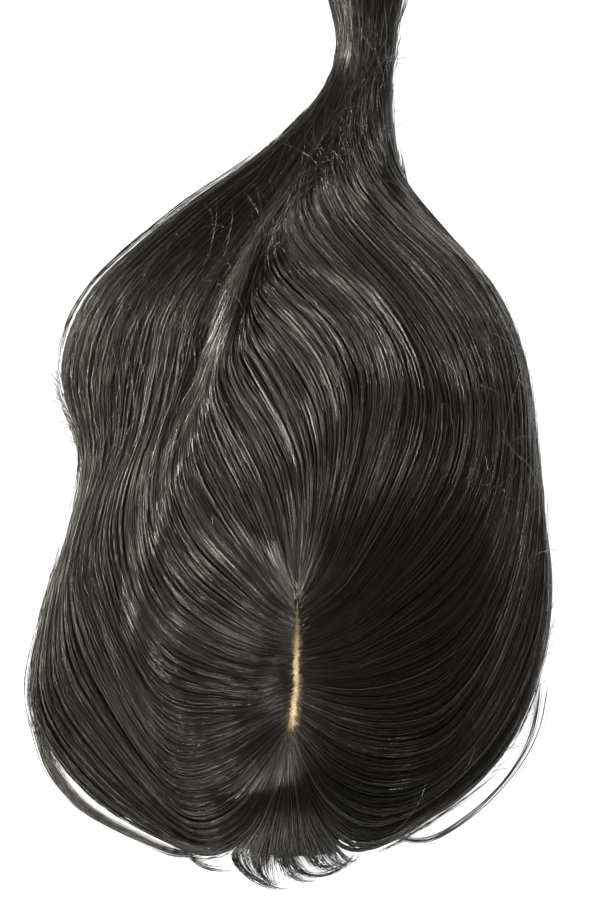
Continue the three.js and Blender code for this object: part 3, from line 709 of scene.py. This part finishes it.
steps = np.linspace(0, LAST - 0.8, 97)
steps[0] = 0.12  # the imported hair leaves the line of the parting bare
for side, surface, across in (
    ("left", left_surface, np.linspace(0, 0.975, 41)),
    ("back", right_surface, np.linspace(0, 1, 33)),
    ("right", right_surface, np.linspace(1, 1.975, 49)),
):
    packed_body(f"{side}_hair_packed", surface, across, steps, body_sink, f"{side}_hair")
packed_body(
    "front_fringe_packed", fringe_surface, np.linspace(0.08, 0.92, 21), np.linspace(0.06, 2.1, 33),
    1.8 * body_sink, "front_fringe",
)


# Strands: centre lines as chains of edges, which a node tree turns into thin closed tubes

def tube_tree():
    """The node tree, and the names of its inputs on a modifier."""
    tree = bpy.data.node_groups.new("strands_to_tubes", "GeometryNodeTree")
    face = tree.interface
    face.new_socket("Geometry", in_out="INPUT", socket_type="NodeSocketGeometry")
    sizes = {
        name: face.new_socket(name, in_out="INPUT", socket_type="NodeSocket" + kind)
        for name, kind in (("Strand width", "Float"), ("Sides", "Int"), ("Look", "Material"))
    }
    face.new_socket("Geometry", in_out="OUTPUT", socket_type="NodeSocketGeometry")
    nodes, links = tree.nodes, tree.links
    given = nodes.new("NodeGroupInput")
    curves = nodes.new("GeometryNodeMeshToCurve")
    links.new(given.outputs["Geometry"], curves.inputs["Mesh"])
    half = nodes.new("ShaderNodeMath")
    half.operation = "MULTIPLY"
    half.inputs[1].default_value = 0.5
    links.new(given.outputs["Strand width"], half.inputs[0])
    ring = nodes.new("GeometryNodeCurvePrimitiveCircle")
    links.new(given.outputs["Sides"], ring.inputs["Resolution"])
    links.new(half.outputs["Value"], ring.inputs["Radius"])
    thickness = nodes.new("GeometryNodeInputNamedAttribute")
    thickness.data_type = "FLOAT"
    thickness.inputs["Name"].default_value = "thickness"
    tubes = nodes.new("GeometryNodeCurveToMesh")
    tubes.inputs["Fill Caps"].default_value = True
    links.new(curves.outputs["Curve"], tubes.inputs["Curve"])
    links.new(ring.outputs["Curve"], tubes.inputs["Profile Curve"])
    links.new(thickness.outputs["Attribute"], tubes.inputs["Scale"])
    smooth = nodes.new("GeometryNodeSetShadeSmooth")
    links.new(tubes.outputs["Mesh"], smooth.inputs["Geometry"])
    real = nodes.new("GeometryNodeRealizeInstances")
    links.new(smooth.outputs["Geometry"], real.inputs["Geometry"])
    paint = nodes.new("GeometryNodeSetMaterial")
    links.new(real.outputs["Geometry"], paint.inputs["Geometry"])
    links.new(given.outputs["Look"], paint.inputs["Material"])
    out = nodes.new("NodeGroupOutput")
    links.new(paint.outputs["Geometry"], out.inputs["Geometry"])
    return tree, {name: socket.identifier for name, socket in sizes.items()}


TUBES, TUBE_INPUTS = tube_tree()


def strands(name, paths, thickness, shade, width=strand_width):
    """A piece of many thin tubes: paths (n, k, 3), thickness (n, k) as a share, shade (n)."""
    count, points, _ = paths.shape
    mesh = bpy.data.meshes.new(name)
    mesh.vertices.add(count * points)
    mesh.vertices.foreach_set("co", paths.astype(np.float32).ravel())
    first = (np.arange(count)[:, None] * points + np.arange(points - 1)).ravel()
    mesh.edges.add(len(first))
    mesh.edges.foreach_set("vertices", np.stack([first, first + 1], 1).astype(np.int32).ravel())
    for title, values in (("thickness", thickness), ("shade", np.repeat(shade, points))):
        layer = mesh.attributes.new(title, "FLOAT", "POINT")
        layer.data.foreach_set("value", np.asarray(values, np.float32).ravel())
    piece = add_object(name, mesh)
    modifier = piece.modifiers.new("tubes", "NODES")
    modifier.node_group = TUBES
    modifier[TUBE_INPUTS["Strand width"]] = width
    modifier[TUBE_INPUTS["Sides"]] = strand_sides
    modifier[TUBE_INPUTS["Look"]] = hair_look
    shown = bpy.context.evaluated_depsgraph_get()
    made = bpy.data.meshes.new_from_object(
        piece.evaluated_get(shown), preserve_all_data_layers=True, depsgraph=shown,
    )
    piece.modifiers.clear()
    piece.data = made
    bpy.data.meshes.remove(mesh)
    made.name = name
    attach(piece, "root")
    return piece


def tapered(count, points, root=0.75):
    """Thickness along each strand: full over most of it, fine at the tip."""
    tip, tip_from, root_to = 0.25, 0.88, 0.1
    s = np.linspace(0, 1, points)
    fine = np.where(s > tip_from, 1 - (1 - tip) * (s - tip_from) / (1 - tip_from), 1)
    line = np.minimum(root + (1 - root) * s / root_to, 1) * fine
    return np.broadcast_to(line, (count, points)) * chance.uniform(0.5, 1.2, (count, 1))


def shades(count, middle=0.4, pale=0.02):
    """Depth of colour of each strand, from near black, 0, to brown, 1; a share of pale strands is
    coloured light brown as painted glints.
    """
    plain = np.clip(chance.normal(middle, 0.17, count), 0, 0.85)
    return np.where(chance.random(count) < pale, chance.uniform(0.85, 1, count), plain)


def phases(count):
    """Where in its waves each hair, or each lock, starts."""
    return chance.uniform(0, 2 * math.pi, count)[:, None]


def raised(place, high):
    """Places in plan with their heights."""
    return np.concatenate([place, high[..., None]], -1)


def sideways(path):
    """Unit vectors in plan, to the left of each path."""
    heading = np.gradient(path[..., :2], axis=-2)
    aside = np.stack([-heading[..., 1], heading[..., 0]], -1)
    return aside / np.maximum(np.linalg.norm(aside, axis=-1, keepdims=True), 1e-9)


def lay_strands(count, points, reach, locks, depth):
    """Centre lines of long strands, gathered in locks, from the parting to the tail.

    Depth, from 0 on top to 1, is how far each strand lies down in the hair. Comes with a tone for
    each strand, the same in one lock.
    """
    first_guide, last_guide = reach
    spacing = (last_guide - first_guide) / locks
    lock = chance.integers(0, locks, count)
    middle = first_guide + (lock + chance.uniform(0.15, 0.85, locks)[lock]) * spacing
    beside = np.clip(chance.normal(0, 0.6, count), -1.6, 1.6)[:, None]
    share = np.interp(middle, range(len(FLOW)), ROOT_SHARES)
    bare = np.interp(share, [0, 0.1, 0.3, 0.5, 0.9, 1], [8.5, 9.5, 6.0, 4.6, 4.8, 5.0]) / 1000
    bare *= chance.uniform(0.35, 1.2, locks)[lock]
    first = np.linalg.norm(
        flow(middle, np.ones(count)) - flow(middle, np.zeros(count)), axis=-1)
    begin = bare * chance.random(count) ** 0.28 / first
    from_parting, to_tail = 0.65, 0.72  # shares of the hairs
    begin += np.where(chance.random(count) < from_parting, 0, chance.uniform(0.1, 2.2, count))
    end = np.where(
        chance.random(count) < to_tail, chance.uniform(16.2, 17, count),
        chance.uniform(7.5, 15, count))
    s = np.linspace(0, 1, points)
    step = begin[:, None] + (end - begin)[:, None] * (0.82 * s + 0.18 * s * s)
    lock_phase = phases(locks)[lock]
    own = phases(count)
    gathered = beside * (1 - 0.5 * ease((step - 1) / 6))
    wander = 0.6 * np.sin(0.55 * step + lock_phase) + 0.2 * np.sin(1.6 * step + own)
    guide = middle[:, None] + spacing * (gathered + wander * ease(step / 2))
    rim = 0.14
    last = len(FLOW) - 1 - rim
    guide = last - np.abs(last - rim - np.abs(guide - rim))
    place = flow(guide, step)
    stray = (0.0003 + 0.0007 * ease((step - 11) / 4)) * np.sin(1.1 * step + 3 * own)
    place += sideways(place) * stray[..., None]
    crest = 0.0007 * (1 - np.minimum(beside ** 2, 1.5))
    swell = 0.0007 * np.sin(1.4 * step + 2 * lock_phase) + 0.00028 * np.sin(3 * step + 5 * own)
    lock_high = chance.uniform(-0.0008, 0.0008, locks)[lock][:, None]
    deepest = 0.0026
    deep = deepest * depth[:, None] ** 1.5
    high = top_of_hair(place) + (crest + swell + lock_high) * ease((step - 0.4) / 2)
    high -= 0.0006 + deep * ease(step / 0.8)
    high = panel_high.z + (high - panel_high.z) * ease(step / 0.5)
    floor = dome_height(place) + least_gap + 0.0006 * ease(step / 0.4)
    tone = chance.normal(0, 0.13, locks)[lock]
    return raised(place, np.maximum(high, floor)), tone


share = 1.0


def strand_piece(name, count, points, reach, locks):
    count = int(count * share)
    depth = chance.random(count)
    laid, tone = lay_strands(count, points, reach, locks, depth)
    # Deeper strands are coloured darker: painted shade.
    shade = np.clip(shades(count) + tone, 0, 1) * (1.15 - 0.6 * depth)
    strands(name, laid, tapered(count, points, 0.45), shade)


strand_piece("left_side_strands", 700, 40, (0, 5), 100)
strand_piece("left_crown_strands", 1000, 28, (4.8, 10), 130)
strand_piece("back_strands", 940, 28, (9.6, 13.6), 110)
strand_piece("right_crown_strands", 940, 28, (13.2, 17.2), 110)
strand_piece("right_side_strands", 700, 40, (16.8, 21), 96)


def lay_roots(count, points):
    """Short hairs that cross the edge of the parting and feather it."""
    guide = chance.uniform(0, len(FLOW) - 1, count)
    at = flow(guide, np.zeros(count))
    heading = flow(guide, np.full(count, 0.6)) - at
    heading /= np.linalg.norm(heading, axis=1)[:, None]
    turn = chance.normal(0, 0.5, count)
    way = np.stack([
        heading[:, 0] * np.cos(turn) - heading[:, 1] * np.sin(turn),
        heading[:, 0] * np.sin(turn) + heading[:, 1] * np.cos(turn),
    ], -1)
    share_along = np.interp(guide, range(len(FLOW)), ROOT_SHARES)
    wide = np.interp(share_along, [0, 0.2, 0.6, 1], [5.0, 3.6, 2.4, 1.6]) / 1000
    far = wide * chance.random(count) ** 0.7 - 0.0002
    s = np.linspace(0, 1, points)
    run = far[:, None] + chance.uniform(0.003, 0.009, (count, 1)) * s
    place = at[:, None] + way[:, None] * run[..., None]
    high = np.full((count, points), panel_high.z - 0.0006) + 0.0016 * s * chance.random((count, 1))
    high = np.maximum(high, dome_height(place) + 0.0002)
    return raised(place, high)


count = int(300 * share)
strands(
    "parting_root_hairs", lay_roots(count, 5), tapered(count, 5, 0.6), shades(count, 0.6, 0.35),
    0.00024,
)


def lay_fan(count, points, locks):
    """The short hair in front of the parting, with curled tips of uneven length."""
    last = len(FAN) - 1
    lock = chance.integers(0, locks, count)
    middle = (lock + chance.uniform(0.1, 0.9, locks)[lock]) * last / locks
    beside = chance.normal(0, 0.5, count) * last / locks
    within_fringe = 0.72
    end = np.where(chance.random(count) < within_fringe, chance.uniform(4.2, 5.4, count),
                   chance.uniform(5.4, 7, count))
    step = chance.uniform(0, 0.5, count)[:, None]
    step = step + (end[:, None] - step) * np.linspace(0, 1, points)
    own = phases(count)
    guide = middle[:, None] + beside[:, None] * (1.2 - 0.5 * ease(step / 4))
    guide = guide + 0.12 * np.sin(1.3 * step + own)
    guide = last - np.abs(last - np.abs(guide))
    place = guided(FAN_METRES, guide, step)
    place += sideways(place) * (0.0008 * np.sin(2.1 * step + own) * ease((step - 3) / 3))[..., None]
    high = top_of_hair(place) - 0.0024 * chance.random((count, 1)) * ease(step)
    high += 0.0012 * np.sin(1.5 * step + own) * ease(step / 2)
    low = 0.0004 + 0.0035 * chance.random((count, 1)) * ease((step - 3.4) / 1.5)
    high = np.where(step > 3.6, np.maximum(high, low), high)
    high = np.maximum(high, dome_height(place) + least_gap)
    return raised(place, high)


def lay_wisp(count, points, root_wide, tip_wide, *places):
    """A thin curl of hairs at the fringe's edge; its half widths are in mm."""
    rows = plot(*np.reshape(places, (-1, 2)).T)
    s = np.linspace(0, 1, points) ** 0.85 * chance.uniform(0.72, 1, (count, 1))
    line = along(rows, s * (len(rows) - 1.0001))
    own = phases(count)
    off = chance.normal(0, 0.6, count)[:, None] * (root_wide + (tip_wide - root_wide) * ease(2 * s))
    off = off + 0.35 * np.sin(6 * s + own) * s
    place = line + sideways(line) * (off / 1000)[..., None]
    free = 0.0006 + 0.003 * chance.random((count, 1)) * (1 - s)
    high = np.maximum(top_of_hair(place) - 0.0012 * chance.random((count, 1)), free)
    high = np.maximum(high, dome_height(place) + least_gap)
    return raised(place, high)


count = int(520 * share)
laid = [lay_fan(count, 15, 24)]
laid += [lay_wisp(int(number * share) + 1, 15, *rest) for number, *rest in WISPS]
laid = np.concatenate(laid)
thickness = tapered(len(laid), 15)
thickness[count:] *= 0.6
strands("front_fringe_strands", laid, thickness, shades(len(laid)), 0.00034)


# Stray hairs: on the surface, along the outline, and in the loose locks

MIDDLE = plot(50, 50)
HALF_SIZE = np.array([hair_wide, hair_long]) / 2
OUTLINE_MARGIN = 0.006  # hairs that would reach further out than this are shortened


def lay_flyaways(count, points, guides, steps, lengths, wild, lean=0):
    """Short hairs that stand off the surface, at an angle to the others."""
    guide = chance.uniform(*guides, count)
    step = chance.uniform(*steps, count)
    at = flow(guide, step)
    heading = flow(guide, step + 0.2) - at
    turn = np.arctan2(heading[:, 1], heading[:, 0]) + chance.normal(lean, wild, count)
    curl = chance.normal(0, 0.8, count)
    s = np.linspace(0, 1, points)
    angle = turn[:, None] + curl[:, None] * s
    length = chance.uniform(*lengths, count)[:, None] / 1000
    pieces = np.stack([np.cos(angle), np.sin(angle)], -1) * (length / (points - 1))[..., None]
    run = np.cumsum(pieces, 1)
    outside = np.abs(at[:, None] + run - MIDDLE) > HALF_SIZE + OUTLINE_MARGIN
    shortened = 0.2
    place = at[:, None] + run * np.where(outside.any((1, 2)), shortened, 1)[:, None, None]
    lift = chance.uniform(0.0004, 0.003, (count, 1)) * np.sin(np.pi * (0.15 + 0.75 * s))
    high = np.maximum(top_of_hair(place) + lift, 0.0004)
    return raised(place, high)


FLYAWAYS = [  # number, guides, steps, lengths in mm, how far they turn away, and to which side
    [80, (10.5, 16.5), (8.6, 12.0), (10, 30), 0.35],
    [90, (2.0, 8.5), (8.0, 12.0), (12, 40), 0.25],
    [60, (15, 19), (4.6, 7.2), (8, 22), 0.35],
    [20, (0, 3.5), (8.8, 10.8), (8, 24), 0.6],
    [36, (14, 20), (9.5, 13.5), (12, 36), 0.2],
    [120, (0, 21), (2, 13), (14, 46), 0.12],
    [44, (0, 0.3), (9.0, 10.1), (5, 15), 0.35, 0.8],
    [16, (20.7, 21), (4.8, 5.8), (4, 10), 0.35, -0.8],
]
laid = np.concatenate([
    lay_flyaways(int(number * share), 8, *rest) for number, *rest in FLYAWAYS
])
# Many of the flyaways are coloured pale: painted glints.
strands(
    "flyaway_strands", laid, tapered(len(laid), 8, 0.4), shades(len(laid), 0.6, 0.4), 0.00024,
)


def lay_edge(count, points, side, steps, spans, starts, ends):
    """Hairs that run along the outline and stand off it. Lengths are in mm."""
    outward = 1 if side == 0 else -1
    begin = chance.uniform(*steps, count)
    span = chance.uniform(*spans, count)
    step = begin[:, None] + span[:, None] * np.linspace(0, 1, points)
    place = flow(np.full((count, points), float(side)), step)
    near = chance.uniform(*starts, count)[:, None]
    far = chance.uniform(*ends, count)[:, None]
    s = np.linspace(0, 1, points)
    own = phases(count)
    off = near + (far - near) * s ** 1.5 + 0.25 * np.sin(4 * s + own)
    place = place + sideways(place) * (outward * off / 1000)[..., None]
    high = 0.0006 + 0.006 * chance.random((count, 1)) * np.exp(-np.maximum(off, 0) / 4)
    return raised(place, high)


EDGES = [  # number, side, steps, spans in steps, millimetres off the outline at root and tip
    [30, 0, (10.6, 12.4), (0.7, 1.8), (-1.4, 0.2), (-0.6, 2.0)],
    [30, 0, (8.9, 10.2), (0.15, 0.5), (-1.5, 0.5), (1.0, 8.0)],
    [30, 0, (7.6, 8.8), (0.6, 1.4), (-1.2, 0.6), (-0.4, 2.0)],
    [30, 0, (5.0, 7.0), (0.6, 1.6), (-1.0, 0.4), (-0.6, 1.6)],
    [16, 0, (2.2, 3.4), (0.3, 0.7), (-0.8, 0.4), (0.4, 3.0)],
    [34, 21, (4.0, 8.0), (0.3, 1.0), (-0.5, 0.5), (0.0, 2.0)],
    [14, 21, (3.8, 5.4), (0.08, 0.25), (-1.0, 0.3), (1.0, 5.0)],
    [40, 21, (8.0, 10.4), (0.6, 1.6), (-0.8, 0.8), (0.0, 2.6)],
    [40, 21, (10.4, 14.0), (0.8, 2.2), (-1.2, 0.4), (-0.2, 2.0)],
    [26, 21, (2.2, 3.2), (0.4, 0.9), (-0.5, 1.0), (0.3, 2.6)],
    [22, 0, (12.2, 14.6), (0.6, 1.8), (-0.6, 0.4), (0.0, 2.0)],
    [30, 0, (9.6, 11.8), (0.9, 2.2), (0.6, 3.0), (0.6, 3.2)],
    [16, 0, (8.2, 9.4), (0.6, 1.2), (0.6, 2.2), (0.6, 2.8)],
    [14, 0, (5.4, 7.4), (0.6, 1.6), (0.8, 2.4), (0.8, 2.4)],
    [18, 21, (13.2, 15.4), (0.6, 1.8), (0.2, 2.0), (0.6, 3.6)],
]
laid = np.concatenate([
    lay_edge(int(number * share) + 1, 14, *rest) for number, *rest in EDGES
])
# Edge hairs are coloured browner and paler than the rest: painted light shining through thin hair,
# and painted glints.
strands("edge_strands", laid, tapered(len(laid), 14, 0.5), shades(len(laid), 0.8, 0.5), 0.00030)


def lay_loose(route, count, points, spread):
    """A thin lock that has slipped off the bundle and lies on the table."""
    s = np.linspace(0, 1, points)
    rows = np.array([[*plot(x, y), z / 100 * hair_high] for x, y, z in route])
    line = along(rows, s * (len(rows) - 1))
    own = phases(count)
    off = chance.normal(0, 0.4, count)[:, None] * spread * (0.35 + 0.4 * s + 0.7 * s ** 3)
    off = off + 0.0004 * np.sin(5 * s + own)
    place = line[:, :2] + sideways(line) * off[..., None]
    high = line[:, 2] * chance.uniform(0.2, 1.1, (count, 1))
    return raised(place, np.maximum(high, least_gap))


for name, route, number, spread in (
    ("left_loose_strands", LEFT_LOOSE, 110, 0.0034),
    ("right_loose_strands", RIGHT_LOOSE, 20, 0.0038),
):
    count = int(number * share)
    strands(name, lay_loose(route, count, 24, spread), tapered(count, 24),
            shades(count, 0.75, 0.3), 0.00030)


# Cap, parting panel and clips keep their solids, with finished materials

finishes = {"cap_base": net_material(), "parting_panel": scalp_material()}
clip_look = clip_material()
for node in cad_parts:
    if node.startswith("snap_clip"):
        finishes[node] = clip_look
for node, look in finishes.items():
    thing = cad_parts[node]
    thing.data.materials.clear()
    thing.data.materials.append(look)


# Studio: a pale table, five soft lights, mostly from the left, and the camera above

def table_top():
    mesh = bpy.data.meshes.new("table_top")
    reach = 3.0
    level = -0.0002  # a hair's breadth under what rests on it
    mesh.from_pydata(
        [(-reach, -reach, level), (reach, -reach, level), (reach, reach, level),
         (-reach, reach, level)],
        [], [(0, 1, 2, 3)],
    )
    table = add_object("table_top", mesh)
    look, nodes, links, shader = new_material("pale_table")
    shader.inputs["Base Color"].default_value = (0.9, 0.9, 0.9, 1)
    shader.inputs["Roughness"].default_value = 0.9
    shader.inputs["Specular IOR Level"].default_value = 0.1
    shader.inputs["Emission Color"].default_value = (1, 1, 1, 1)
    shader.inputs["Emission Strength"].default_value = 0.85
    mesh.materials.append(look)


def soft_light(name, place, power):
    """A square light that faces the middle of the hair."""
    lamp = bpy.data.lights.new(name, "AREA")
    lamp.shape = "SQUARE"
    lamp.size = 0.35
    lamp.energy = power
    light = add_object(name, lamp)
    light.location = place
    aim = Vector((0, -0.03, 0.02)) - Vector(place)
    light.rotation_euler = aim.to_track_quat("-Z", "Y").to_euler()


def studio():
    soft_light("key_light", (-1.18, -0.34, 1.46), 18)
    soft_light("side_light", (-1.64, 0.35, 0.91), 20)
    soft_light("top_light", (-0.29, -0.51, 1.83), 11)
    soft_light("back_light", (-1.06, 0.61, 1.46), 5)
    soft_light("right_light", (0.84, 1.45, 0.89), 14)
    world = bpy.data.worlds.new("studio")
    world.use_nodes = True
    backdrop = world.node_tree.nodes["Background"]
    backdrop.inputs["Color"].default_value = (1, 1, 1, 1)
    backdrop.inputs["Strength"].default_value = 0.12
    bpy.context.scene.world = world
    bpy.context.scene.view_settings.view_transform = "Standard"


def camera_above():
    lens = bpy.data.cameras.new("camera")
    lens.sensor_fit = "VERTICAL"
    lens.sensor_height = 24
    lens.lens = lens.sensor_height * camera_height / frame_high
    lens.clip_end = 20
    camera = add_object("camera", lens)
    camera.location = (cap_middle.x + 0.0045, cap_middle.y + 0.1046, camera_height)
    bpy.context.scene.camera = camera


table_top()
studio()
camera_above()
